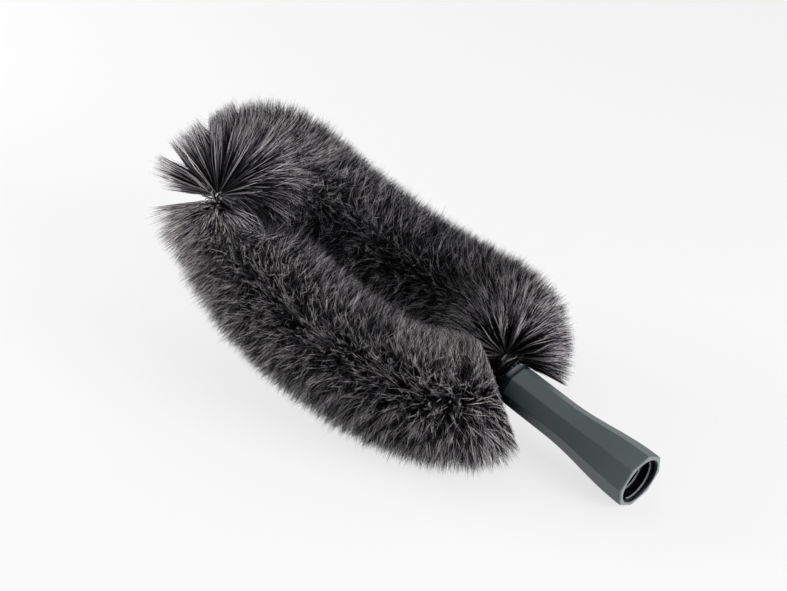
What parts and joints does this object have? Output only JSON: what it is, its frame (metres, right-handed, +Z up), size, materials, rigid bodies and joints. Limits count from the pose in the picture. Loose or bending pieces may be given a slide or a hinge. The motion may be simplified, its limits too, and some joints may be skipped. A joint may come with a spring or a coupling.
{
  "type": "pipe duster",
  "caption": "Pipe duster: a dark twisted-wire brush bent into an arched loop that hugs a pipe, on a flared eight-sided socket for an extension pole.",
  "frame": {"origin": "middle of the box at the floor that the duster lies on", "axes": "+X along the duster towards the pole socket's mouth, +Y towards the far leg of the loop, +Z up from the floor"},
  "size_m": [0.3368, 0.1938, 0.1462],
  "materials": {
    "socket_plastic": "moulded, satin",
    "cap_plastic": "gloss black",
    "steel": "bright drawn wire",
    "bristle": "fine charcoal filaments with lighter tips"
  },
  "bodies": {
    "root": {"pole_socket": "socket_plastic", "neck_cap": "cap_plastic", "crimp_ferrule": "steel", "stem_wire_a": "steel", "stem_wire_b": "steel", "far_leg_bristles": "bristle", "far_tip_bristles": "bristle", "near_tip_bristles": "bristle", "near_leg_bristles": "bristle"}
  },
  "joints": []
}
